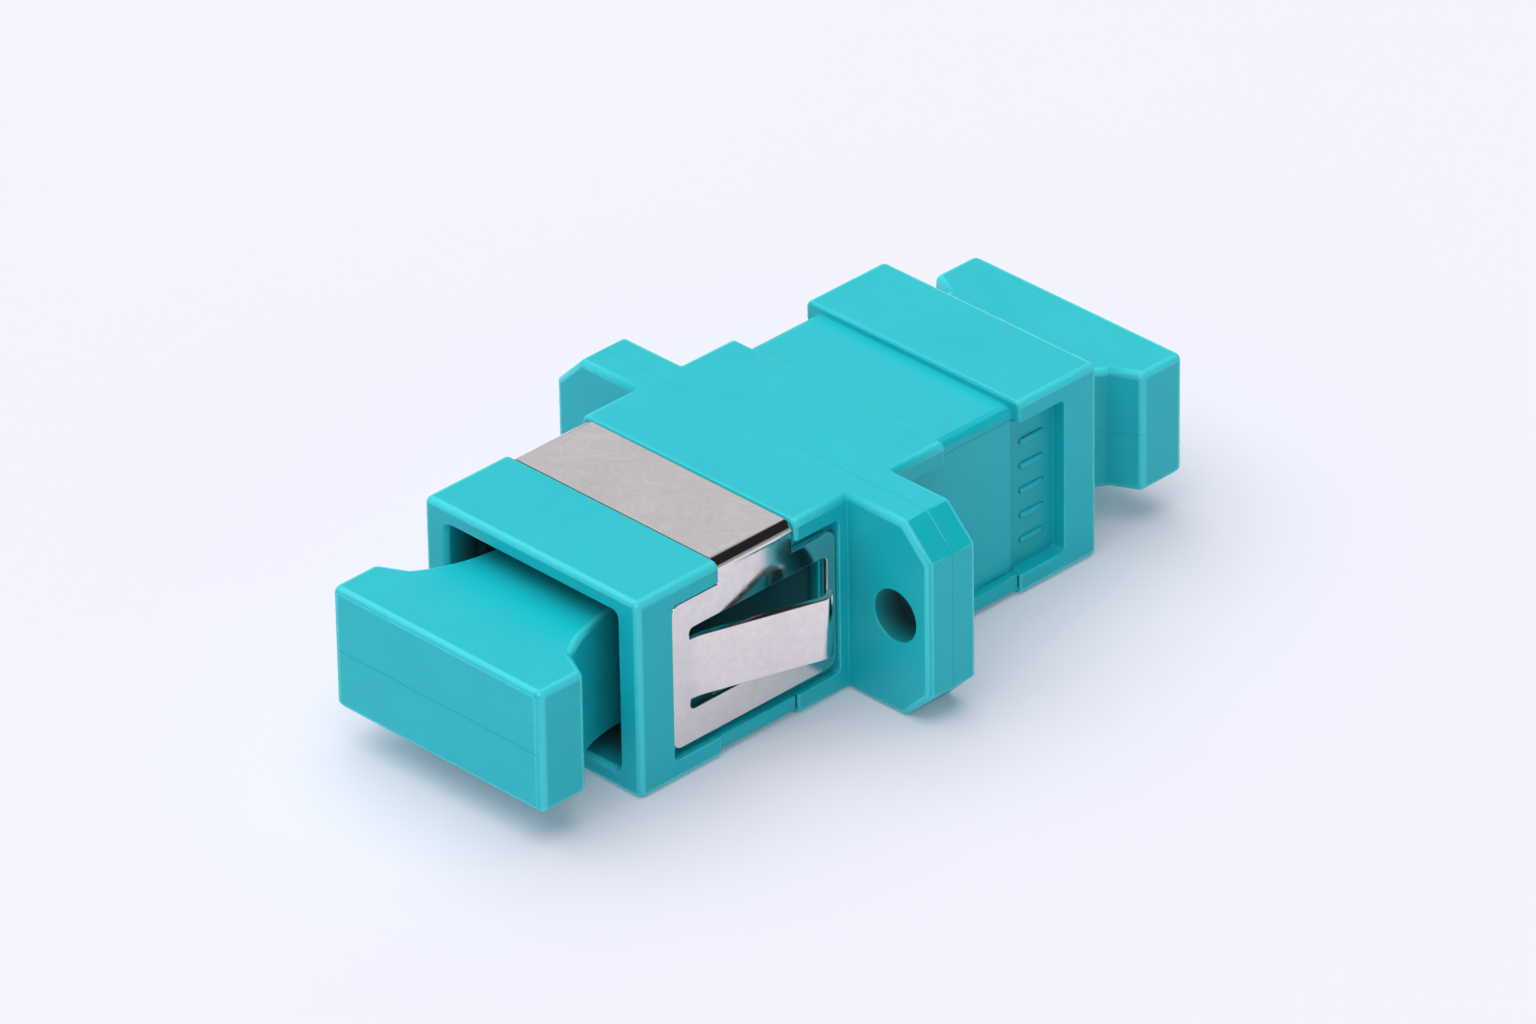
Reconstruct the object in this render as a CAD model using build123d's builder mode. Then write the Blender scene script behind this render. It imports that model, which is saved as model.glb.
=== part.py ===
from build123d import *
from math import cos, radians, sin
import os

# SC simplex fibre adapter with a mounting flange, a sheet metal panel clip
# and a push-in dust cap in each port.
# X runs across the flange from hole to hole, Y along the plug axis and Z up.
# The origin is on the surface it lies on, under the weld plane of its halves.
# The front port, on the side of the panel clip, faces -Y. Lengths are in mm.

# Moulded housing halves
body_width = 12.6
body_height = 9.4
half_length = 13.5
body_edge_round = 0.35
end_edge_round = 0.3
flange_thickness = 1.4
ear_chamfer = 1.5
flange_edge_round = 0.3
weld_edge_break = 0.05
hole_pitch = 18.0
hole_diameter = 2.4
hole_margin = 0.8
flange_width = hole_pitch + hole_diameter + 2 * hole_margin
axis_height = body_height / 2

# Ports, one in the outer end of each half
mouth_width = 10.0
mouth_depth = 1.8
throat_width = 9.2
throat_height = 7.5
port_corner = 0.25
mouth_chamfer = 0.2
keyway_width = 2.4
keyway_depth = 0.55
keyway_length = 4.6

# Groove for the strap of the clip and the shallow pockets in both sides
groove_start = 4.4
groove_length = 4.4
groove_depth = 0.4
groove_side_depth = 0.5
groove_base_depth = 0.15
groove_corner = 0.5
shoulder_chamfer = 0.1
lip_notch_depth = 0.15
lip_corner = 0.25
pocket_start = 1.9
pocket_end = 11.5
pocket_base = 1.0
pocket_top = 8.42
pocket_depth = 0.56
pocket_corner = 0.25
recess_start = groove_start + groove_length
recess_depth = 0.68

# Panel clip, folded from one sheet
sheet = 0.32
strap_clearance = 0.05
bend_radius = 0.22
plate_margin = 0.1
plate_start = 1.95
plate_end = pocket_end - plate_margin
plate_base = 1.36
plate_front_top = 8.25
plate_rear_top = 7.92
plate_corner = 0.45
window_start = 2.46
window_end = 10.4
window_height = 3.88
tongue_height = 2.9
window_centre = 4.88
window_corner = 0.24
tongue_angle = 17.8
tongue_bend = 2.5
curl_radius = 0.75
curl_angle = 75
panel_gap = 2.1

# Latch inserts, one in each half, and the sleeve between them
insert_width = 10.1
insert_height = 8.1
insert_thickness = 1.2
insert_corner = 0.5
insert_clearance = 0.05
tube_diameter = 4.6
tube_end = 6.6
tube_lip = 0.8
ferrule_entry = 2.9
entry_chamfer = 0.25
arm_clearance = 0.1
arm_thickness = 0.75
arm_height = 4.2
arm_end = 9.0
barb_length = 1.5
barb_gap = 6.5
barb_land = 0.3
root_chamfer = 0.4
sleeve_diameter = 3.2
sleeve_bore = 2.5
sleeve_slot = 0.5
sleeve_end_play = 0.1
sleeve_running_gap = 0.075

# Dust caps
cap_height = 5.9
cap_droop = 0.15
handle_width = 12.3
handle_inner = 16.45
handle_outer = 18.95
handle_round = 0.4
neck_width = 9.6
neck_start = 15.75
shank_width = 7.0
shank_end = 11.8
tip_taper_end = 10.5
tip_gap = 0.15
tip_start = 7.0
tip_chamfer = 0.35
cap_edge_round = 0.32
cap_bore = 5.1
cap_bore_end = 13.0


def side_plane(side, depth):
    """The plane at one side of the body, a depth inside its face, facing out."""
    return Plane(
        origin=(side * (body_width / 2 - depth), 0, 0),
        x_dir=(0, side, 0),
        z_dir=(side, 0, 0),
    )


def side_outline(side, start, end, base, top, corner):
    """A rounded rectangle on a side plane, between two distances from the weld."""
    with Locations((-side * (start + end) / 2, (base + top) / 2)):
        RectangleRounded(end - start, top - base, corner)


# One half of the housing: a square tube with the flange at its inner end
with BuildPart() as front_housing:
    # Flange with chamfered ears and a narrow weld line round its inner face
    with BuildSketch(Plane.XZ):
        with Locations((0, axis_height)):
            Rectangle(flange_width, body_height)
        chamfer(vertices(), ear_chamfer)
    extrude(amount=flange_thickness)
    flange_faces = faces().filter_by(Axis.Y).sort_by(Axis.Y)
    fillet(flange_faces[0].edges(), flange_edge_round)
    chamfer(faces().sort_by(Axis.Y)[-1].edges(), weld_edge_break)
    with BuildSketch(Plane.XZ):
        with Locations((0, axis_height)):
            with GridLocations(hole_pitch, 0, 2, 1):
                Circle(hole_diameter / 2)
    extrude(amount=flange_thickness, mode=Mode.SUBTRACT)

    # Body, flush with the top and the bottom of the flange
    with BuildSketch(Plane.XZ.offset(weld_edge_break)):
        with Locations((0, axis_height)):
            RectangleRounded(body_width, body_height, body_edge_round)
    extrude(amount=half_length - weld_edge_break)
    fillet(faces().sort_by(Axis.Y)[0].edges(), end_edge_round)

    # Groove all round for the strap, shallower below and on the lower lips of the sides
    with BuildSketch(Plane.XZ.offset(groove_start)):
        with Locations((0, axis_height)):
            Rectangle(flange_width, 2 * body_height)
        with Locations((0, (body_height + groove_base_depth - groove_depth) / 2)):
            RectangleRounded(
                body_width - 2 * groove_side_depth,
                body_height - groove_depth - groove_base_depth,
                groove_corner,
                mode=Mode.SUBTRACT,
            )
        with Locations((0, (groove_base_depth + axis_height) / 2)):
            RectangleRounded(
                body_width - 2 * lip_notch_depth,
                axis_height - groove_base_depth,
                lip_corner,
                mode=Mode.SUBTRACT,
            )
    extrude(amount=groove_length, mode=Mode.SUBTRACT)
    for shoulder in (-groove_start, -groove_start - groove_length):
        shoulder_face = faces().filter_by(Axis.Y).filter_by_position(Axis.Y, shoulder, shoulder)[0]
        chamfer(shoulder_face.outer_wire().edges(), shoulder_chamfer)

    # Shallow pocket in each side, with a deeper recess at its outer end
    for side in (-1, 1):
        with BuildSketch(side_plane(side, pocket_depth)):
            side_outline(side, pocket_start, pocket_end, pocket_base, pocket_top, pocket_corner)
        extrude(amount=pocket_depth, mode=Mode.SUBTRACT)
        with BuildSketch(side_plane(side, recess_depth)):
            side_outline(side, recess_start, pocket_end, pocket_base, pocket_top, pocket_corner)
        extrude(amount=recess_depth, mode=Mode.SUBTRACT)

    # Port: a throat right through, a wider mouth and the seat of the insert
    with BuildSketch(Plane.XZ):
        with Locations((0, axis_height)):
            RectangleRounded(throat_width, throat_height, port_corner)
    extrude(amount=half_length, mode=Mode.SUBTRACT)
    with BuildSketch(Plane.XZ.offset(half_length)):
        with Locations((0, axis_height)):
            RectangleRounded(mouth_width, throat_height, port_corner)
    extrude(amount=-mouth_depth, mode=Mode.SUBTRACT)
    mouth_edges = faces().sort_by(Axis.Y)[0].inner_wires()[0].edges()
    chamfer(mouth_edges, mouth_chamfer)
    with BuildSketch(Plane.XZ):
        with Locations((0, axis_height)):
            RectangleRounded(
                insert_width + 2 * insert_clearance,
                insert_height + 2 * insert_clearance,
                insert_corner + insert_clearance,
            )
    extrude(amount=insert_thickness, mode=Mode.SUBTRACT)

    # Keyway in the lower broad wall
    with BuildSketch(Plane.XZ.offset(half_length)):
        with Locations((0, axis_height - throat_height / 2)):
            Rectangle(keyway_width, 2 * keyway_depth)
    extrude(amount=-keyway_length, mode=Mode.SUBTRACT)

front_housing.part.label = "front_housing"

with BuildPart() as rear_housing:
    mirror(front_housing.part, about=Plane.XZ)

rear_housing.part.label = "rear_housing"


# Panel clip: a strap over the top, a plate down each side and a sprung tongue
# in each plate that snaps behind the edge of the panel
clip_seat = body_width / 2 - groove_side_depth
clip_face = clip_seat + sheet
strap_seat = body_height - groove_depth
neck_near = groove_start + strap_clearance
neck_far = groove_start + groove_length - strap_clearance
bend_reach = tongue_bend * sin(radians(tongue_angle))
curl_reach = curl_radius * (sin(radians(tongue_angle)) + sin(radians(curl_angle - tongue_angle)))
tip_reach = sheet / 2 * sin(radians(curl_angle - tongue_angle))
tongue_span = window_end - flange_thickness - panel_gap
tongue_rise = (tongue_span - bend_reach - curl_reach - tip_reach) / cos(radians(tongue_angle))

with BuildPart() as panel_clip:
    # Strap with its two bends, down to where the plates are wide
    with BuildSketch(Plane.XZ.offset(neck_near)):
        with Locations((0, strap_seat + sheet)):
            Rectangle(2 * clip_face, 2 * (body_height - axis_height), align=(Align.CENTER, Align.MAX))
        fillet(vertices().group_by(Axis.Y)[-1], bend_radius + sheet)
        with Locations((0, strap_seat)):
            Rectangle(
                2 * clip_seat,
                2 * (body_height - axis_height),
                align=(Align.CENTER, Align.MAX),
                mode=Mode.SUBTRACT,
            )
        with Locations((0, axis_height + window_height / 2)):
            Rectangle(flange_width, 2 * body_height, align=(Align.CENTER, Align.MAX), mode=Mode.SUBTRACT)
    extrude(amount=neck_far - neck_near)

    for side in (-1, 1):
        with BuildSketch(side_plane(side, groove_side_depth)):
            side_outline(side, plate_start, plate_end, plate_base, plate_rear_top, plate_corner)
            side_outline(side, neck_far - sheet, plate_end, plate_base, plate_front_top, plate_corner)
            with Locations((-side * (window_start + window_end) / 2, window_centre)):
                RectangleRounded(
                    window_end - window_start, window_height, window_corner, mode=Mode.SUBTRACT
                )
        extrude(amount=sheet)

        # Tongue: it leaves the plate at the outer end and its free end curls in
        with BuildSketch(Plane.XY.offset(window_centre - tongue_height / 2)):
            with BuildLine():
                root = Line(
                    (side * (clip_seat + sheet / 2), -window_end - sheet),
                    (side * (clip_seat + sheet / 2), -window_end),
                )
                bend = JernArc(root @ 1, root % 1, tongue_bend, -side * tongue_angle)
                rise = Line(bend @ 1, (bend @ 1) + (bend % 1) * tongue_rise)
                JernArc(rise @ 1, rise % 1, curl_radius, side * curl_angle)
            trace(line_width=sheet)
        extrude(amount=tongue_height)

panel_clip.part.label = "panel_clip"


# Latch insert: a plate on the weld plane, the tube round half of the sleeve
# and two arms whose barbs hold the plug
sleeve_half = tube_end - tube_lip - sleeve_end_play
tube_bore = sleeve_diameter + 2 * sleeve_running_gap
arm_face = throat_width / 2 - arm_clearance

with BuildPart() as front_latch_insert:
    with BuildSketch(Plane.XZ):
        with Locations((0, axis_height)):
            RectangleRounded(insert_width, insert_height, insert_corner)
    extrude(amount=insert_thickness)
    with BuildSketch(Plane.XZ):
        with Locations((0, axis_height)):
            Circle(tube_diameter / 2)
    extrude(amount=tube_end)
    tube_root = edges().filter_by(GeomType.CIRCLE).filter_by_position(
        Axis.Y, -insert_thickness, -insert_thickness
    )
    chamfer(tube_root, root_chamfer)

    for side in (-1, 1):
        with BuildSketch(Plane.XY.offset(axis_height - arm_height / 2)):
            with BuildLine():
                Polyline(
                    (side * arm_face, -insert_thickness / 2),
                    (side * arm_face, -arm_end),
                    (side * (arm_face - arm_thickness / 2), -arm_end),
                    (side * barb_gap / 2, -arm_end + barb_length - barb_land),
                    (side * barb_gap / 2, -arm_end + barb_length),
                    (side * (arm_face - arm_thickness), -arm_end + barb_length),
                    (side * (arm_face - arm_thickness), -insert_thickness / 2),
                    close=True,
                )
            make_face()
        extrude(amount=arm_height)

    with BuildSketch(Plane.XZ):
        with Locations((0, axis_height)):
            Circle(tube_bore / 2)
    extrude(amount=tube_end - tube_lip, mode=Mode.SUBTRACT)
    with BuildSketch(Plane.XZ):
        with Locations((0, axis_height)):
            Circle(ferrule_entry / 2)
    extrude(amount=tube_end, mode=Mode.SUBTRACT)
    entry_edge = edges().filter_by(GeomType.CIRCLE).group_by(Axis.Y)[0].sort_by(SortBy.RADIUS)[0]
    chamfer(entry_edge, entry_chamfer)

front_latch_insert.part.label = "front_latch_insert"

with BuildPart() as rear_latch_insert:
    mirror(front_latch_insert.part, about=Plane.XZ)

rear_latch_insert.part.label = "rear_latch_insert"


# Split sleeve that lines up the two ferrules
with BuildPart() as alignment_sleeve:
    with BuildSketch(Plane.XZ.offset(-sleeve_half)):
        with Locations((0, axis_height)):
            Circle(sleeve_diameter / 2)
            Circle(sleeve_bore / 2, mode=Mode.SUBTRACT)
        with Locations((0, axis_height + sleeve_diameter / 2)):
            Rectangle(sleeve_slot, sleeve_diameter, mode=Mode.SUBTRACT)
    extrude(amount=2 * sleeve_half)

alignment_sleeve.part.label = "alignment_sleeve"


# Dust cap: a flat T with a hollow shank that goes over the tube of the insert
cap_centre = axis_height - cap_droop
tip_width = barb_gap - 2 * tip_gap

with BuildPart() as front_dust_cap:
    with BuildSketch(Plane.XY.offset(cap_centre - cap_height / 2)):
        with BuildLine():
            outer = Line((0, -handle_outer), (handle_width / 2, -handle_outer))
            end = Line(outer @ 1, (handle_width / 2, -handle_inner))
            shoulder = Line(end @ 1, (neck_width / 2, -neck_start))
            flare = SagittaArc(
                shoulder @ 1,
                (shank_width / 2, -shank_end),
                (neck_width / 2 - shank_width / 2) / 4,
            )
            taper = Line(flare @ 1, (tip_width / 2, -tip_taper_end))
            tip = Line(taper @ 1, (tip_width / 2, -tip_start))
            Line(tip @ 1, (0, -tip_start))
            mirror(about=Plane.YZ)
        make_face()
    extrude(amount=cap_height)
    handle_ends = edges().filter_by(Axis.Z).filter_by_position(Axis.Y, -handle_outer, -handle_inner)
    fillet(handle_ends, handle_round)
    tip_ends = edges().filter_by(Axis.Z).group_by(Axis.Y)[-1]
    chamfer(tip_ends, tip_chamfer)
    fillet(edges().group_by(Axis.Z)[-1], cap_edge_round)
    chamfer(edges().group_by(Axis.Z)[0], cap_edge_round)
    with BuildSketch(Plane.XZ.offset(cap_bore_end)):
        with Locations((0, cap_centre)):
            Circle(cap_bore / 2)
    extrude(amount=-(cap_bore_end - tip_start), mode=Mode.SUBTRACT)

front_dust_cap.part.label = "front_dust_cap"

with BuildPart() as rear_dust_cap:
    mirror(front_dust_cap.part, about=Plane.XZ)

rear_dust_cap.part.label = "rear_dust_cap"


os.makedirs("parts", exist_ok=True)
export_step(front_housing.part, "parts/front_housing.step")
export_step(rear_housing.part, "parts/rear_housing.step")
export_step(panel_clip.part, "parts/panel_clip.step")
export_step(front_latch_insert.part, "parts/front_latch_insert.step")
export_step(rear_latch_insert.part, "parts/rear_latch_insert.step")
export_step(alignment_sleeve.part, "parts/alignment_sleeve.step")
export_step(front_dust_cap.part, "parts/front_dust_cap.step")
export_step(rear_dust_cap.part, "parts/rear_dust_cap.step")
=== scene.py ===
from math import cos, hypot, radians

import bmesh
import bpy
from mathutils import Matrix, Vector


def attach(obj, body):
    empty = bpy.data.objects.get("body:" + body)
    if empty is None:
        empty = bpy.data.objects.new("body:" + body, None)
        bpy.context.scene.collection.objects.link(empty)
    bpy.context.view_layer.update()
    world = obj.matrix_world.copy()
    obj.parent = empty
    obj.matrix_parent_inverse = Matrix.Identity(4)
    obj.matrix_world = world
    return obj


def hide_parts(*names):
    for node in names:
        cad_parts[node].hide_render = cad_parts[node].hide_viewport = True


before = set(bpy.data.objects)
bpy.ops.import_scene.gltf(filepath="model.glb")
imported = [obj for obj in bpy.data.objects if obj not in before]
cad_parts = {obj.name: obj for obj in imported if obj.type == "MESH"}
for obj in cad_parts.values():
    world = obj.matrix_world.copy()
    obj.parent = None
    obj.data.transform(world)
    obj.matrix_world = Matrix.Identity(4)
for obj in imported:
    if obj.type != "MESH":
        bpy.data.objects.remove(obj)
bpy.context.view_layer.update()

mm = 0.001
hair = 0.002 * mm        # points this close together are one
scene = bpy.context.scene


# small helpers for materials

def addNode(tree, kind, values=None, **settings):
    node = tree.nodes.new(kind)
    for name, value in settings.items():
        setattr(node, name, value)
    for name, value in (values or {}).items():
        node.inputs[name].default_value = value
    return node


def newMaterial(name, **sockets):
    material = bpy.data.materials.new(name)
    material.use_nodes = True
    tree = material.node_tree
    shader = tree.nodes["Principled BSDF"]
    for socket, value in sockets.items():
        shader.inputs[socket.replace("_", " ")].default_value = value
    place = addNode(tree, "ShaderNodeTexCoord").outputs["Object"]
    return material, tree, shader, place


def noise(tree, place, scale, detail=3.0, roughness=0.5, distortion=0.0):
    values = {"Scale": scale, "Detail": detail, "Roughness": roughness, "Distortion": distortion}
    node = addNode(tree, "ShaderNodeTexNoise", values)
    tree.links.new(place, node.inputs["Vector"])
    return node.outputs["Fac"]


def spread(tree, value, low, high, fromLow=0.3, fromHigh=0.7):
    values = {"From Min": fromLow, "From Max": fromHigh, "To Min": low, "To Max": high}
    node = addNode(tree, "ShaderNodeMapRange", values)
    tree.links.new(value, node.inputs["Value"])
    return node.outputs["Result"]


def feed(tree, socket, value):
    # a socket takes another node's output, a number or a colour
    if isinstance(value, bpy.types.NodeSocket):
        tree.links.new(value, socket)
    else:
        socket.default_value = (*value, 1.0) if isinstance(value, tuple) else value


def mixColours(tree, share, first, second):
    node = addNode(tree, "ShaderNodeMix", data_type="RGBA")
    tree.links.new(share, node.inputs["Factor"])
    feed(tree, node.inputs[6], first)     # the colours are sockets 6 and 7 of this node
    feed(tree, node.inputs[7], second)
    return node.outputs[2]


def mixValues(tree, share, first, second):
    node = addNode(tree, "ShaderNodeMix")
    tree.links.new(share, node.inputs["Factor"])
    feed(tree, node.inputs[2], first)     # and the numbers are sockets 2 and 3
    feed(tree, node.inputs[3], second)
    return node.outputs[0]


def scaled(tree, colour, factor):
    node = addNode(tree, "ShaderNodeVectorMath", operation="SCALE")
    tree.links.new(colour, node.inputs[0])
    tree.links.new(factor, node.inputs["Scale"])
    return node.outputs["Vector"]


def addBump(tree, shader, heights):
    # heights is a list of (value, strength, distance in metres), finest first
    normal = None
    for value, strength, distance in heights:
        bump = addNode(tree, "ShaderNodeBump", {"Strength": strength, "Distance": distance})
        tree.links.new(value, bump.inputs["Height"])
        if normal:
            tree.links.new(normal, bump.inputs["Normal"])
        normal = bump.outputs["Normal"]
    tree.links.new(normal, shader.inputs["Normal"])


def cloudyColour(tree, place, look):
    clouds = spread(tree, noise(tree, place, look["cloudScale"]), 0.0, 1.0)
    return mixColours(tree, clouds, look["dark"], look["light"])


def unevenRoughness(tree, place, look, detail=3.0):
    return spread(tree, noise(tree, place, look["roughScale"], detail), *look["roughness"])


aqua = {
    "light": (0.010, 0.565, 0.630),
    "dark": (0.008, 0.535, 0.600),
    "cloudScale": 260.0,          # slow changes of tone in the moulding
    "rim": (0.10, 0.84, 0.90),    # painted highlight: a paler tone along the outward rounds
    "paintedHighlightShare": 0.62,             # how far a round takes on that painted highlight
    "rimPolish": 0.12,            # how much smoother a round is than a wall
    "paintedShadeTone": 0.09,             # painted shade: what is left of the colour far inside a port or a hole
    "deepRoughness": 0.85,
    "roughness": (0.33, 0.41),
    "roughScale": 900.0,
    "ior": 1.36,
    "translucence": 0.15,
    "lightReach": (0.2, 0.9, 1.0),    # how far red, green and blue get, as shares of the depth
    "lightDepth": 0.5 * mm,
    "grainScale": 5200.0,         # fine spark finish of the mould
    "grainStrength": 0.35,
    "grainDepth": 0.004 * mm,
    "waveScale": 420.0,           # faint shrinkage of the broad walls
    "waveStrength": 0.2,
    "waveDepth": 0.02 * mm,
}


def makeAquaPlastic(name):
    material, tree, shader, place = newMaterial(
        name, IOR=aqua["ior"], Subsurface_Weight=aqua["translucence"],
        Subsurface_Radius=aqua["lightReach"], Subsurface_Scale=aqua["lightDepth"],
    )
    rims = addNode(tree, "ShaderNodeAttribute", attribute_name="rim").outputs["Fac"]
    paintedShadeAndFinish = addNode(tree, "ShaderNodeAttribute", attribute_name="paintedShadeAndFinish").outputs["Fac"]
    # painted highlight: the outward rounds take a paler tone, and they are made smoother as well
    paintedHighlightShare = spread(tree, rims, 0.0, aqua["paintedHighlightShare"], 0.0, 1.0)
    paintedHighlightColour = mixColours(tree, paintedHighlightShare, cloudyColour(tree, place, aqua), aqua["rim"])
    # painted shade: the colour darkens far inside the ports, the holes and the tongue relief; on the rear
    # recess floor a little darkening stands for a darker finish
    tone = spread(tree, paintedShadeAndFinish, 1.0, aqua["paintedShadeTone"], 0.0, 1.0)
    tree.links.new(scaled(tree, paintedHighlightColour, tone), shader.inputs["Base Color"])
    smoother = addNode(tree, "ShaderNodeMath", operation="MULTIPLY_ADD")
    smoother.inputs[1].default_value = -aqua["rimPolish"]
    tree.links.new(rims, smoother.inputs[0])
    tree.links.new(unevenRoughness(tree, place, aqua, detail=4.0), smoother.inputs[2])
    dull = mixValues(tree, paintedShadeAndFinish, smoother.outputs["Value"], aqua["deepRoughness"])
    tree.links.new(dull, shader.inputs["Roughness"])
    grain = noise(tree, place, aqua["grainScale"], detail=2.0)
    wave = noise(tree, place, aqua["waveScale"], detail=1.0)
    addBump(tree, shader, [
        (grain, aqua["grainStrength"], aqua["grainDepth"]),
        (wave, aqua["waveStrength"], aqua["waveDepth"]),
    ])
    return material


steel = {
    "light": (0.86, 0.80, 0.79),
    "dark": (0.78, 0.725, 0.725),
    "lightShare": (0.25, 1.0),    # how much of the light tone the patches take
    "patchScale": 330.0,
    "mottle": (0.86, 1.0),        # darkest and lightest of the fine mottling
    "mottleScale": 780.0,
    "roughness": (0.08, 0.17),
    "roughScale": 1300.0,
    "markScale": 900.0,           # rolling marks along the strip
    "markStretch": 0.35,
    "markStrength": 0.25,
    "markDepth": 0.0012 * mm,
    "waveScale": 240.0,
    "waveStrength": 0.3,
    "waveDepth": 0.006 * mm,
}


def makeClipSteel():
    material, tree, shader, place = newMaterial("clipSteel", Metallic=1.0)
    patches = noise(tree, place, steel["patchScale"])
    colour = mixColours(tree, spread(tree, patches, *steel["lightShare"]), steel["dark"], steel["light"])
    curls = noise(tree, place, steel["mottleScale"], detail=7.0, roughness=0.72, distortion=3.5)
    tree.links.new(scaled(tree, colour, spread(tree, curls, *steel["mottle"])), shader.inputs["Base Color"])
    sheen = noise(tree, place, steel["roughScale"], detail=5.0, roughness=0.65, distortion=1.6)
    tree.links.new(spread(tree, sheen, *steel["roughness"]), shader.inputs["Roughness"])
    stretch = addNode(tree, "ShaderNodeMapping", {"Scale": (steel["markStretch"], 1.0, 1.0)})
    tree.links.new(place, stretch.inputs["Vector"])
    along = stretch.outputs["Vector"]
    marks = noise(tree, along, steel["markScale"], detail=6.0, roughness=0.7, distortion=2.5)
    waves = noise(tree, place, steel["waveScale"], detail=2.0)
    addBump(tree, shader, [
        (marks, steel["markStrength"], steel["markDepth"]),
        (waves, steel["waveStrength"], steel["waveDepth"]),
    ])
    return material


paleNylon = {
    "light": (0.72, 0.71, 0.66),
    "dark": (0.62, 0.61, 0.55),
    "cloudScale": 500.0,
    "roughness": (0.4, 0.5),
    "roughScale": 1500.0,
    "ior": 1.5,
    "translucence": 0.1,
    "lightDepth": 0.4 * mm,
    "grainScale": 6000.0,
    "grainStrength": 0.3,
    "grainDepth": 0.004 * mm,
}


def makeInsertPlastic():
    material, tree, shader, place = newMaterial(
        "insertPlastic", IOR=paleNylon["ior"], Subsurface_Weight=paleNylon["translucence"],
        Subsurface_Scale=paleNylon["lightDepth"],
    )
    tree.links.new(cloudyColour(tree, place, paleNylon), shader.inputs["Base Color"])
    tree.links.new(unevenRoughness(tree, place, paleNylon), shader.inputs["Roughness"])
    grain = noise(tree, place, paleNylon["grainScale"], detail=2.0)
    addBump(tree, shader, [(grain, paleNylon["grainStrength"], paleNylon["grainDepth"])])
    return material


ceramic = {
    "light": (0.86, 0.85, 0.81),
    "dark": (0.80, 0.79, 0.74),
    "cloudScale": 1200.0,
    "roughness": (0.12, 0.2),
    "roughScale": 2500.0,
    "ior": 2.1,
}


def makeSleeveCeramic():
    material, tree, shader, place = newMaterial("sleeveCeramic", IOR=ceramic["ior"])
    tree.links.new(cloudyColour(tree, place, ceramic), shader.inputs["Base Color"])
    tree.links.new(unevenRoughness(tree, place, ceramic), shader.inputs["Roughness"])
    return material


finishes = {
    "housing_plastic": makeAquaPlastic("housingPlastic"),
    "cap_plastic": makeAquaPlastic("capPlastic"),
    "insert_plastic": makeInsertPlastic(),
    "clip_steel": makeClipSteel(),
    "sleeve_ceramic": makeSleeveCeramic(),
}
print("materials ready")


# pieces that stand for the plain solids

def finishPiece(piece, body, slotName, *nodes):
    if not piece.data.materials:
        piece.data.materials.append(finishes[slotName])
    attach(piece, body)
    if nodes:
        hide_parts(*nodes)
    return piece


def makeFacesWhole(mesh):
    flatAngle = radians(0.6)
    bmesh.ops.dissolve_limit(
        mesh, angle_limit=flatAngle, verts=mesh.verts, edges=mesh.edges, use_dissolve_boundaries=False
    )


def mergedMesh(nodeName):
    # the solid's loose triangles, welded and with its flat faces made whole again
    mesh = bmesh.new()
    mesh.from_mesh(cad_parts[nodeName].data)
    bmesh.ops.remove_doubles(mesh, verts=mesh.verts, dist=hair)
    makeFacesWhole(mesh)
    return mesh


def meshObject(name, mesh):
    data = bpy.data.meshes.new(name)
    mesh.to_mesh(data)
    mesh.free()
    piece = bpy.data.objects.new(name, data)
    scene.collection.objects.link(piece)
    return piece


def bakeModifiers(piece):
    graph = bpy.context.evaluated_depsgraph_get()
    baked = bpy.data.meshes.new_from_object(piece.evaluated_get(graph))
    piece.modifiers.clear()
    old = piece.data
    piece.data = baked
    bpy.data.meshes.remove(old)
    return piece


# room behind each tongue of the clip

tongueRelief = {
    "floor": 5.15, "thickness": 0.75,    # in mm, across the body
    "start": 2.6, "end": 10.3,           # from the weld towards the port
    "low": 3.1, "high": 6.65,
}


def makeReliefCutter():
    mesh = bmesh.new()
    thickness = tongueRelief["thickness"]
    start, end, low, high = [tongueRelief[key] for key in ("start", "end", "low", "high")]
    size = (thickness, end - start, high - low)
    for side in (1, -1):
        across = side * (tongueRelief["floor"] + thickness / 2)
        spot = Vector((across, -(start + end) / 2, (low + high) / 2)) * mm
        place = Matrix.Translation(spot) @ Matrix.Diagonal((*[mm * s for s in size], 1.0))
        bmesh.ops.create_cube(mesh, size=1.0, matrix=place)
    cutter = meshObject("reliefCutter", mesh)
    cutter.hide_render = True
    return cutter


# small changes to single solids

capEnds = {"beyond": 18.9, "inset": 0.024}          # in mm

weldFurrow = {"chamfer": 0.05, "filled": 0.3}       # chamfer in mm, and the share of it that is filled

clipNeck = {
    # the part of the strap's end that hangs into the plate's window, in mm
    "halfWidth": 5.5, "start": 4.4, "end": 8.8, "low": 6.64, "flush": 6.82,
    "slack": 0.01,       # how far from its height a point may be
    "merge": 0.005,      # points this close become one after the trim
}


def drawInEnds(mesh):
    # leaves room for the parting line on the caps' end faces
    for vertex in mesh.verts:
        if abs(vertex.co.y) > capEnds["beyond"] * mm:
            vertex.co.y -= capEnds["inset"] * mm * (1 if vertex.co.y > 0 else -1)


def closeWeld(mesh):
    # the welded rims have melted together, so that only a shallow furrow is left
    for edge in mesh.edges:
        rim, outer = sorted(edge.verts, key=lambda v: abs(v.co.y))
        if abs(rim.co.y) < hair and abs(abs(outer.co.y) - weldFurrow["chamfer"] * mm) < hair:
            place = rim.co.lerp(outer.co, weldFurrow["filled"])
            rim.co = (place.x, 0.0, place.z)


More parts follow.
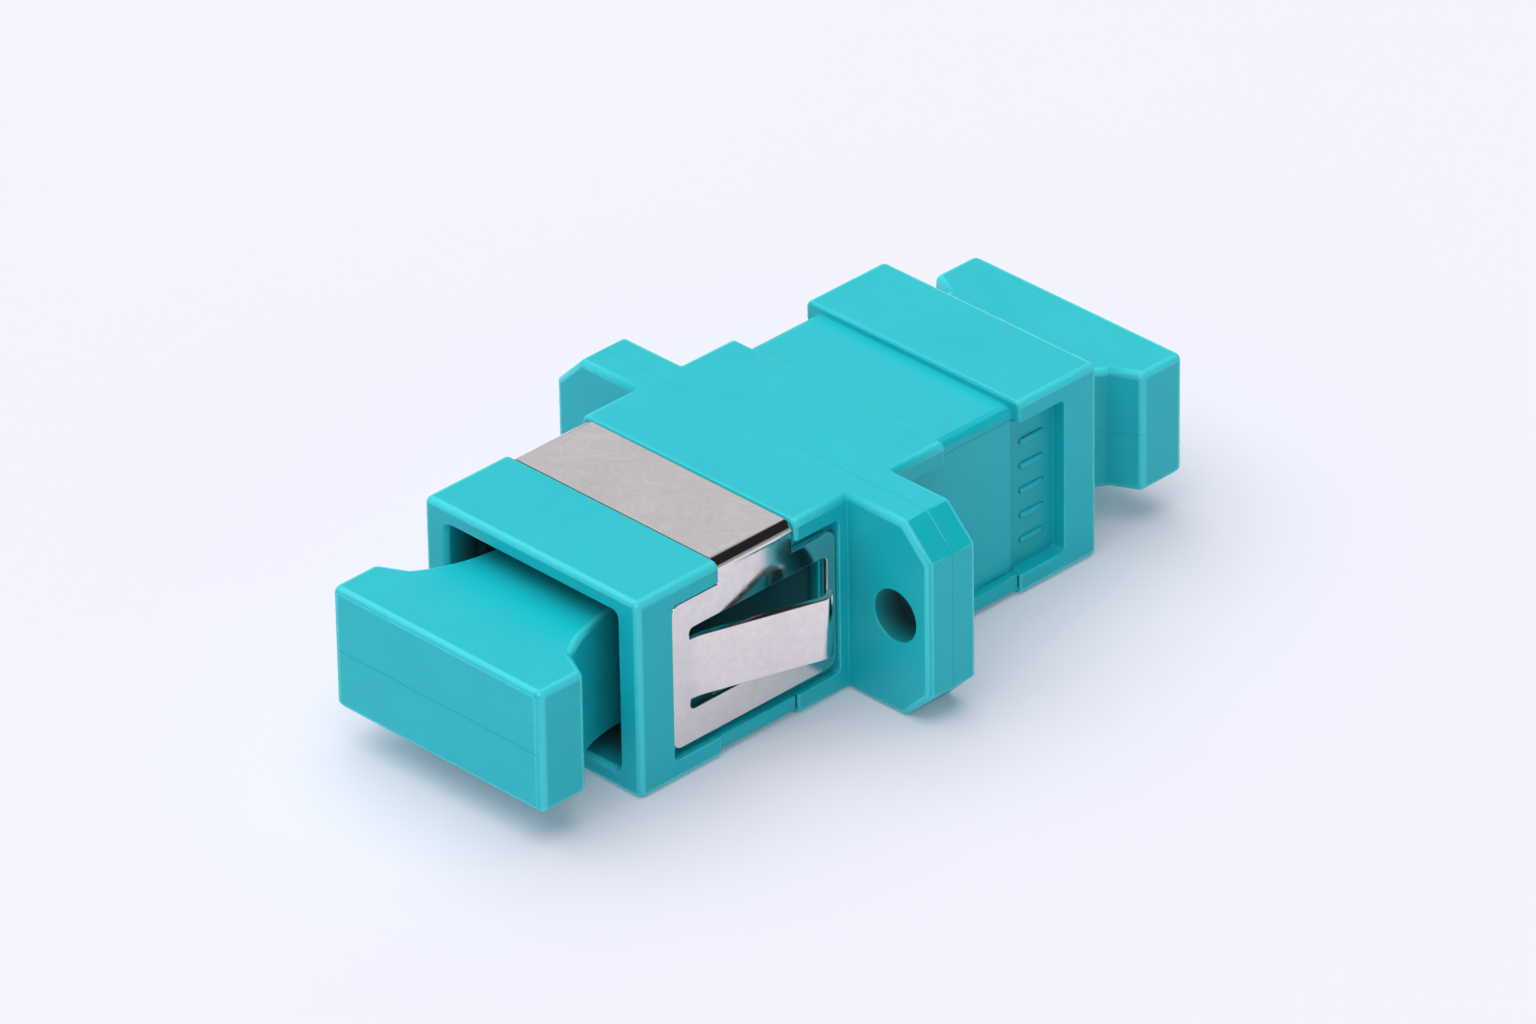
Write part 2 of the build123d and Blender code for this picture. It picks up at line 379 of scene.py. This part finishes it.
def trimNeck(mesh):
    # the strap ends flush with the plate at the window's upper edge
    for vertex in mesh.verts:
        x, y, z = [abs(c) / mm for c in vertex.co]
        onNeck = x > clipNeck["halfWidth"] and clipNeck["start"] < y < clipNeck["end"]
        if onNeck and abs(z - clipNeck["low"]) < clipNeck["slack"]:
            vertex.co.z = clipNeck["flush"] * mm
    bmesh.ops.remove_doubles(mesh, verts=mesh.verts, dist=clipNeck["merge"] * mm)
    makeFacesWhole(mesh)


# rounded edges

rounding = {
    "hardAngle": 35,       # an edge is hard from this turn on, in degrees
    "foldLength": 3.2,     # a face longer and narrower than this, in mm, is part of a fold of the sheet
    "foldWidth": 0.25,
    "room": 0.13,          # steps narrower than this, in mm, stay sharp
    "segments": 2,
    "flatWeight": 80,      # how firmly the flat walls keep their own shading
    "wallWidth": 0.2,      # a face wider than this, in mm, is a wall and not part of a round
    "bendAngle": 5,        # an edge that turns more than this, in degrees, is part of a bend
    # painted highlight and smoothness of a point of a round with no, one, and more neighbours outside it
    "highlightAndPolish": (1.0, 0.5, 0.85),
}

softPieces = {
    # node: (name of the piece, body, material slot, width of the edge round in mm)
    "front_housing": ("housing.front", "adapter", "housing_plastic", 0.07),
    "rear_housing": ("housing.rear", "adapter", "housing_plastic", 0.07),
    "panel_clip": ("clip", "adapter", "clip_steel", 0.05),
    "front_latch_insert": ("insert.front", "adapter", "insert_plastic", 0.06),
    "rear_latch_insert": ("insert.rear", "adapter", "insert_plastic", 0.06),
    "front_dust_cap": ("cap.front", "front_cap", "cap_plastic", 0.08),
    "rear_dust_cap": ("cap.rear", "rear_cap", "cap_plastic", 0.08),
}


def faceLength(face):
    return max(edge.calc_length() for edge in face.edges)


def faceWidth(face):
    longest = faceLength(face)
    return face.calc_area() / longest if longest > 0 else 0


def isFoldFacet(face):
    return faceLength(face) > rounding["foldLength"] * mm and faceWidth(face) < rounding["foldWidth"] * mm


def isHard(edge):
    return len(edge.link_faces) == 2 and edge.calc_face_angle() >= radians(rounding["hardAngle"])


def hasRoom(edge):
    # a step too narrow to hold a round on each side keeps its two edges as they are
    parallel = 0.999
    start, end = [vertex.co for vertex in edge.verts]
    along = (end - start).normalized()
    reach = sorted((start.dot(along), end.dot(along)))
    for face in edge.link_faces:
        for other in face.edges:
            first, last = [vertex.co for vertex in other.verts]
            if other is edge or abs((last - first).normalized().dot(along)) < parallel:
                continue
            offset = first - start
            gap = (offset - along * offset.dot(along)).length
            span = sorted((first.dot(along), last.dot(along)))
            overlap = min(span[1], reach[1]) - max(span[0], reach[0])
            if 0 < gap < rounding["room"] * mm and overlap > gap and isHard(other):
                return False
    return True


def weightEdges(mesh, slotName):
    # chooses the edges to round, and keeps the other hard ones crisp
    weights = mesh.edges.layers.float.new("bevel_weight_edge")
    for edge in mesh.edges:
        if not isHard(edge):
            continue
        welded = all(abs(vertex.co.y) < hair for vertex in edge.verts)
        resting = all(vertex.co.z < hair for vertex in edge.verts)
        onFold = slotName == "clip_steel" and any(isFoldFacet(face) for face in edge.link_faces)
        if welded or resting or onFold or not hasRoom(edge):
            edge.smooth = False
        else:
            edge[weights] = 1.0


# attributes that the aqua plastic reads: painted shade, with a darker finish in the rear recesses, and the
# rounds' painted highlight

shadeAndFinishPlaces = {
    # painted shade: how dark each place is, from 0 to 1, and where it is, in mm; on the rear recess floor
    # the small share stands for a darker finish
    "port": {"halfWidth": 5.06, "low": 0.9, "high": 8.5, "mouth": 13.4, "fade": 1.6},
    "relief": {"halfWidth": 5.3, "low": 2.9, "high": 6.8, "end": 11.0, "dark": 0.9},
    "hole": {"aside": 9.0, "height": 4.7, "radius": 1.21, "inner": 0.02, "dark": 0.95, "mouthDark": 0.5},
    "recess": {"floor": 5.62, "slack": 0.01, "start": 8.7, "end": 11.6, "dark": 0.15},
}


def shadeAndFinishAt(x, y, z):
    # x from the middle, y from the weld and z from the surface the part lies on, in mm
    # painted shade in the port, the tongue relief and the hole, and a darker finish on the rear recess
    # floor
    port, relief, hole, recess = shadeAndFinishPlaces.values()
    if x < port["halfWidth"] and port["low"] < z < port["high"]:
        return min(max((port["mouth"] - y) / port["fade"], 0.0), 1.0)
    if x < relief["halfWidth"] and relief["low"] < z < relief["high"] and y < relief["end"]:
        return relief["dark"]
    if hypot(x - hole["aside"], z - hole["height"]) < hole["radius"]:
        return hole["dark"] if y < hole["inner"] else hole["mouthDark"]
    if abs(x - recess["floor"]) < recess["slack"] and recess["start"] < y < recess["end"]:
        return recess["dark"]
    return 0.0


def markShadeAndFinish(piece):
    # painted shade that grows from 0 outside to 1 far inside the ports, and part of the way in holes and
    # recesses; on the floor of the rear recesses the small share is a darker finish instead
    paintedShadeAndFinish = piece.data.attributes.new("paintedShadeAndFinish", "FLOAT", "POINT").data
    for vertex in piece.data.vertices:
        paintedShadeAndFinish[vertex.index].value = shadeAndFinishAt(*[abs(c) / mm for c in vertex.co])


def markRims(piece):
    # 1 along the middle of every outward round, for its painted highlight and its smoother finish
    mesh = bmesh.new()
    mesh.from_mesh(piece.data)
    walls = {face for face in mesh.faces if faceWidth(face) > rounding["wallWidth"] * mm}
    inner = set()
    for vertex in mesh.verts:
        bends = [edge for edge in vertex.link_edges
                 if len(edge.link_faces) == 2 and edge.calc_face_angle() > radians(rounding["bendAngle"])]
        outward = bends and all(edge.is_convex for edge in bends)
        if outward and not walls.intersection(vertex.link_faces):
            inner.add(vertex)
    highlightAndPolish = piece.data.attributes.new("rim", "FLOAT", "POINT").data
    for vertex in inner:
        # a broad round fades out in its outer rows, a fine one has a single row
        borders = sum(edge.other_vert(vertex) not in inner for edge in vertex.link_edges)
        highlightAndPolish[vertex.index].value = rounding["highlightAndPolish"][min(borders, 2)]
    mesh.free()


def addRelief(piece):
    relief = piece.modifiers.new("tongueRelief", "BOOLEAN")
    relief.object = makeReliefCutter()
    relief.solver = "EXACT"


def addRounds(piece, width):
    bevel = piece.modifiers.new("edgeRound", "BEVEL")
    bevel.width = width * mm
    bevel.segments = rounding["segments"]
    bevel.limit_method = "WEIGHT"
    bevel.use_clamp_overlap = False
    bevel.miter_outer = "MITER_SHARP"
    bevel.harden_normals = True
    weighted = piece.modifiers.new("flatWalls", "WEIGHTED_NORMAL")
    weighted.keep_sharp = True
    weighted.weight = rounding["flatWeight"]


def softenNode(nodeName, name, body, slotName, width):
    # a moulded or rolled edge is never knife sharp, so most hard edges get a small round
    mesh = mergedMesh(nodeName)
    if slotName == "cap_plastic":
        drawInEnds(mesh)
    if slotName == "housing_plastic":
        closeWeld(mesh)
    if nodeName == "panel_clip":
        trimNeck(mesh)
    weightEdges(mesh, slotName)
    piece = meshObject(name, mesh)
    for polygon in piece.data.polygons:
        polygon.use_smooth = True
    if nodeName == "front_housing":
        addRelief(piece)
    addRounds(piece, width)
    bakeModifiers(piece)
    if nodeName == "front_housing":
        bpy.data.objects.remove(bpy.data.objects["reliefCutter"])
    markRims(piece)
    if slotName == "housing_plastic":
        markShadeAndFinish(piece)
    return finishPiece(piece, body, slotName, nodeName)


def paintSleeve():
    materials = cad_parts["alignment_sleeve"].data.materials
    materials.clear()
    materials.append(finishes["sleeve_ceramic"])


for nodeName, (name, body, slotName, width) in softPieces.items():
    softenNode(nodeName, name, body, slotName, width)
paintSleeve()
print("solids softened")


# Geometry Nodes helpers

def newTree(name, inputs, hasGeometry=False):
    tree = bpy.data.node_groups.new(name, "GeometryNodeTree")
    tree.interface.new_socket("Geometry", in_out="OUTPUT", socket_type="NodeSocketGeometry")
    if hasGeometry:
        tree.interface.new_socket("Geometry", in_out="INPUT", socket_type="NodeSocketGeometry")
    for label, (kind, value) in inputs.items():
        socket = tree.interface.new_socket(label, in_out="INPUT", socket_type=kind)
        if value is not None:
            socket.default_value = value
    start = tree.nodes.new("NodeGroupInput")
    end = tree.nodes.new("NodeGroupOutput")
    return tree, start, end


def finishTree(tree, start, end, geometry):
    shade = addNode(tree, "GeometryNodeSetShadeSmooth")
    realize = addNode(tree, "GeometryNodeRealizeInstances")
    paint = addNode(tree, "GeometryNodeSetMaterial")
    tree.links.new(geometry, shade.inputs["Geometry"])
    tree.links.new(shade.outputs["Geometry"], realize.inputs["Geometry"])
    tree.links.new(realize.outputs["Geometry"], paint.inputs["Geometry"])
    tree.links.new(start.outputs["Material"], paint.inputs["Material"])
    tree.links.new(paint.outputs["Geometry"], end.inputs[0])
    return tree


def setInputs(modifier, values):
    for item in modifier.node_group.interface.items_tree:
        if item.in_out == "INPUT" and item.name in values:
            modifier[item.identifier] = values[item.name]


def nodesPiece(name, tree, body, slotName, values, mesh=None):
    piece = meshObject(name, mesh or bmesh.new())
    modifier = piece.modifiers.new(tree.name, "NODES")
    modifier.node_group = tree
    setInputs(modifier, {"Material": finishes[slotName], **values})
    bakeModifiers(piece)
    return finishPiece(piece, body, slotName)


# seams: the weld between the halves and the mould's parting line on the caps

partingLine = {
    "slot": "cap_plastic", "radius": 0.024, "inset": 0.024,    # in mm
    "point": (0, 0, 4.5), "normal": (0, 0, 1), "shift": 0,     # the plane that cuts the solid
}

seams = {
    "weldBead": {
        "solid": "front_housing", "body": "adapter", "slot": "housing_plastic",
        "radius": 0.022, "inset": 0.028,
        # cut just past the furrow, and then shifted onto the weld
        "point": (0, -0.055, 0), "normal": (0, 1, 0), "shift": 0.055,
    },
    "partingLine.front": {"solid": "front_dust_cap", "body": "front_cap", **partingLine},
    "partingLine.rear": {"solid": "rear_dust_cap", "body": "rear_cap", **partingLine},
}


def splitLoops(edges):
    loops = []
    while edges:
        group, ends = [], [edges.pop()]
        while ends:
            edge = ends.pop()
            group.append(edge)
            for vertex in edge.verts:
                for other in vertex.link_edges:
                    if other in edges:
                        edges.remove(other)
                        ends.append(other)
        loops.append(group)
    return loops


def outlineLoop(nodeName, point, normal):
    # the longest loop in which a plane cuts a solid, as bare edges
    onPlane = 0.0001 * mm
    mesh = mergedMesh(nodeName)
    cut = bmesh.ops.bisect_plane(
        mesh, geom=mesh.verts[:] + mesh.edges[:] + mesh.faces[:], dist=onPlane,
        plane_co=Vector(point) * mm, plane_no=normal,
    )["geom_cut"]
    loops = splitLoops({item for item in cut if isinstance(item, bmesh.types.BMEdge)})
    longest = max(loops, key=lambda group: sum(edge.calc_length() for edge in group))
    outline = bmesh.new()
    copies = {}
    for edge in longest:
        for vertex in edge.verts:
            if vertex not in copies:
                copies[vertex] = outline.verts.new(vertex.co)
        outline.edges.new([copies[vertex] for vertex in edge.verts])
    mesh.free()
    return outline


def drawIn(outline, inset):
    # pulls a loop in by the same amount on every side, but not in the direction in which it is flat
    flat = 1.0 * mm
    corners = [[f(v.co[i] for v in outline.verts) for f in (min, max)] for i in range(3)]
    middle = Vector([(low + high) / 2 for low, high in corners])
    factors = [1 - inset / (high - low) * 2 if high - low > flat else 1 for low, high in corners]
    for vertex in outline.verts:
        offset = vertex.co - middle
        vertex.co = middle + Vector([f * c for f, c in zip(factors, offset)])


def makeSeamTree():
    tree, start, end = newTree("seamBead", {
        "Spacing": ("NodeSocketFloat", 0.1 * mm),
        "Radius": ("NodeSocketFloat", 0.05 * mm),
        "Unevenness": ("NodeSocketFloat", 0.3),
        "Patches": ("NodeSocketFloat", 600.0),
        "Material": ("NodeSocketMaterial", None),
    }, hasGeometry=True)
    curve = addNode(tree, "GeometryNodeMeshToCurve")
    resample = addNode(tree, "GeometryNodeResampleCurve", mode="LENGTH")
    profile = addNode(tree, "GeometryNodeCurvePrimitiveCircle", {"Resolution": 8})
    place = addNode(tree, "GeometryNodeInputPosition")
    patches = addNode(tree, "ShaderNodeTexNoise", {"Detail": 2.0})
    centred = addNode(tree, "ShaderNodeMath", operation="SUBTRACT")
    centred.inputs[1].default_value = 0.5
    uneven = addNode(tree, "ShaderNodeMath", operation="MULTIPLY_ADD")
    uneven.inputs[2].default_value = 1.0
    radius = addNode(tree, "GeometryNodeSetCurveRadius")
    tube = addNode(tree, "GeometryNodeCurveToMesh")
    link = tree.links.new
    link(start.outputs["Geometry"], curve.inputs["Mesh"])
    link(curve.outputs["Curve"], resample.inputs["Curve"])
    link(start.outputs["Spacing"], resample.inputs["Length"])
    link(place.outputs["Position"], patches.inputs["Vector"])
    link(start.outputs["Patches"], patches.inputs["Scale"])
    link(patches.outputs["Fac"], centred.inputs[0])
    link(centred.outputs["Value"], uneven.inputs[0])
    link(start.outputs["Unevenness"], uneven.inputs[1])
    link(resample.outputs["Curve"], radius.inputs["Curve"])
    link(uneven.outputs["Value"], radius.inputs["Radius"])
    link(radius.outputs["Curve"], tube.inputs["Curve"])
    link(start.outputs["Radius"], profile.inputs["Radius"])
    link(profile.outputs["Curve"], tube.inputs["Profile Curve"])
    return finishTree(tree, start, end, tube.outputs["Mesh"])


def makeSeams():
    tree = makeSeamTree()
    for name, seam in seams.items():
        outline = outlineLoop(seam["solid"], seam["point"], seam["normal"])
        bmesh.ops.translate(outline, verts=outline.verts, vec=(0, seam["shift"] * mm, 0))
        drawIn(outline, seam["inset"] * mm)
        nodesPiece(name, tree, seam["body"], seam["slot"], {"Radius": seam["radius"] * mm}, outline)


makeSeams()
print("seams ready")


# raised bars on the floor of the rear side recesses

recessBars = {
    "count": 5, "first": 2.2, "step": 1.2,      # heights of the bars in mm
    "length": 1.5, "width": 0.3, "height": 0.09, "corner": 0.16, "taper": 0.8,
    "floor": 5.62, "middle": 10.15,             # distances from the plug axis and the weld
}


def makeBarTree():
    tree, start, end = newTree("recessBars", {
        "Count": ("NodeSocketInt", 5),
        "Step": ("NodeSocketFloat", 1.2 * mm),
        "Length": ("NodeSocketFloat", 1.5 * mm),
        "Width": ("NodeSocketFloat", 0.3 * mm),
        "Height": ("NodeSocketFloat", 0.1 * mm),
        "Corner": ("NodeSocketFloat", 0.16 * mm),
        "Taper": ("NodeSocketFloat", 0.8),
        "Material": ("NodeSocketMaterial", None),
    })
    link = tree.links.new
    outline = addNode(tree, "GeometryNodeCurvePrimitiveQuadrilateral")
    link(start.outputs["Length"], outline.inputs["Width"])
    link(start.outputs["Width"], outline.inputs["Height"])
    rounded = addNode(tree, "GeometryNodeFilletCurve", {"Count": 5, "Limit Radius": True}, mode="POLY")
    link(outline.outputs["Curve"], rounded.inputs["Curve"])
    link(start.outputs["Corner"], rounded.inputs["Radius"])
    base = addNode(tree, "GeometryNodeFillCurve", mode="NGONS")
    link(rounded.outputs["Curve"], base.inputs["Curve"])
    raised = addNode(tree, "GeometryNodeExtrudeMesh")
    link(base.outputs["Mesh"], raised.inputs["Mesh"])
    link(start.outputs["Height"], raised.inputs["Offset Scale"])
    tapered = addNode(tree, "GeometryNodeScaleElements")
    link(raised.outputs["Mesh"], tapered.inputs["Geometry"])
    link(raised.outputs["Top"], tapered.inputs["Selection"])
    link(start.outputs["Taper"], tapered.inputs["Scale"])
    under = addNode(tree, "GeometryNodeFlipFaces")
    link(base.outputs["Mesh"], under.inputs["Mesh"])
    closed = addNode(tree, "GeometryNodeJoinGeometry")
    link(tapered.outputs["Geometry"], closed.inputs["Geometry"])
    link(under.outputs["Mesh"], closed.inputs["Geometry"])
    welded = addNode(tree, "GeometryNodeMergeByDistance", {"Distance": hair / 2})
    link(closed.outputs["Geometry"], welded.inputs["Geometry"])
    rise = addNode(tree, "ShaderNodeCombineXYZ")
    link(start.outputs["Step"], rise.inputs["Y"])
    row = addNode(tree, "GeometryNodeMeshLine")
    link(start.outputs["Count"], row.inputs["Count"])
    link(rise.outputs["Vector"], row.inputs["Offset"])
    bars = addNode(tree, "GeometryNodeInstanceOnPoints")
    link(row.outputs["Mesh"], bars.inputs["Points"])
    link(welded.outputs["Geometry"], bars.inputs["Instance"])
    return finishTree(tree, start, end, bars.outputs["Instances"])


def makeRecessBars():
    tree = makeBarTree()
    values = {"Count": recessBars["count"], "Taper": recessBars["taper"]}
    for size in ("step", "length", "width", "height", "corner"):
        values[size.capitalize()] = recessBars[size] * mm
    for side, name in ((1, "recessBars.right"), (-1, "recessBars.left")):
        piece = nodesPiece(name, tree, "adapter", "housing_plastic", values)
        # the row is built flat, and stands up against the floor of the recess here
        across = Vector((0, side, 0))
        up = Vector((0, 0, 1))
        turn = Matrix((across, up, across.cross(up))).transposed().to_4x4()
        spot = Vector((side * recessBars["floor"], recessBars["middle"], recessBars["first"])) * mm
        piece.data.transform(Matrix.Translation(spot) @ turn)


makeRecessBars()
print("recess bars ready")


# floor, light and camera

lightTable = {
    "size": 3.0,
    "light": (0.767, 0.755, 0.828),
    "dark": (0.757, 0.745, 0.818),
    "cloudScale": 14.0,
    "roughness": 0.75,
    "ior": 1.35,
    "glow": (0.92, 0.92, 1.0, 1.0),    # a light table glows a little through its sheet
    "glowStrength": 0.13,
}


def makeFloor():
    material, tree, shader, place = newMaterial(
        "floor", IOR=lightTable["ior"], Roughness=lightTable["roughness"],
        Emission_Color=lightTable["glow"], Emission_Strength=lightTable["glowStrength"],
    )
    tree.links.new(cloudyColour(tree, place, lightTable), shader.inputs["Base Color"])
    mesh = bmesh.new()
    bmesh.ops.create_grid(mesh, x_segments=4, y_segments=4, size=lightTable["size"] / 2)
    floor = meshObject("floor", mesh)
    floor.data.materials.append(material)


studio = {
    "tint": (0.95, 0.96, 1.0),
    "sky": 0.42,
    # a pale card that the strap shows, and a dark one that its bend shows
    "paleCard": {"from": (-0.68, 0.58, 0.45), "inner": 19, "outer": 23, "change": 0.31},
    "darkCard": {"from": (0.30, 0.60, 0.74), "inner": 33, "outer": 40, "change": -0.40},
    "suns": (
        # name, strength, angle in degrees, direction it shines from, what it lights
        ("overhead", 2.33, 84, (-0.20, -0.07, 1.0), "diffuse"),
        ("front", 1.1, 12, (0.54, -0.55, 0.636), "gloss"),
    ),
}


def cardLight(tree, direction, card):
    # 0 outside the card and its change inside, with a soft rim between
    spot = addNode(tree, "ShaderNodeVectorMath", operation="DOT_PRODUCT")
    spot.inputs[1].default_value = Vector(card["from"]).normalized()
    tree.links.new(direction, spot.inputs[0])
    rim = (cos(radians(card["outer"])), cos(radians(card["inner"])))
    return spread(tree, spot.outputs["Value"], 0.0, card["change"], *rim)


def makeSky():
    world = bpy.data.worlds.new("studio")
    world.use_nodes = True
    tree = world.node_tree
    direction = addNode(tree, "ShaderNodeTexCoord").outputs["Generated"]
    strength = studio["sky"]
    for card in (studio["paleCard"], studio["darkCard"]):
        total = addNode(tree, "ShaderNodeMath", operation="ADD")
        feed(tree, total.inputs[1], strength)
        tree.links.new(cardLight(tree, direction, card), total.inputs[0])
        strength = total.outputs["Value"]
    back = tree.nodes["Background"]
    feed(tree, back.inputs["Color"], studio["tint"])
    tree.links.new(strength, back.inputs["Strength"])
    scene.world = world


def makeSuns():
    for name, strength, angle, direction, kind in studio["suns"]:
        sun = bpy.data.lights.new(name, "SUN")
        sun.energy = strength
        sun.angle = radians(angle)
        lamp = bpy.data.objects.new(name, sun)
        lamp.visible_diffuse = kind == "diffuse"
        lamp.visible_glossy = kind == "gloss"
        lamp.rotation_euler = Vector(direction).to_track_quat("Z", "Y").to_euler()
        scene.collection.objects.link(lamp)


view = {
    "turn": 45.557, "height": 31.042, "roll": -0.912,          # in degrees
    "lens": 281.58, "sensor": 36.0,
    "distance": 503.93, "aside": 0.071, "above": 4.575,        # in mm
    "nearest": 0.01,                                           # in metres
}


def makeCamera():
    data = bpy.data.cameras.new("camera")
    data.lens = view["lens"]
    data.sensor_width = view["sensor"]
    data.clip_start = view["nearest"]
    camera = bpy.data.objects.new("camera", data)
    turn = (
        Matrix.Rotation(radians(view["turn"]), 4, "Z")
        @ Matrix.Rotation(radians(90 - view["height"]), 4, "X")
        @ Matrix.Rotation(radians(view["roll"]), 4, "Z")
    )
    spot = turn @ Vector((view["aside"], view["above"], view["distance"])) * mm
    camera.matrix_world = Matrix.Translation(spot) @ turn
    scene.collection.objects.link(camera)
    scene.camera = camera


makeFloor()
makeSky()
makeSuns()
makeCamera()
scene.view_settings.view_transform = "Standard"
print("floor, light and camera ready")
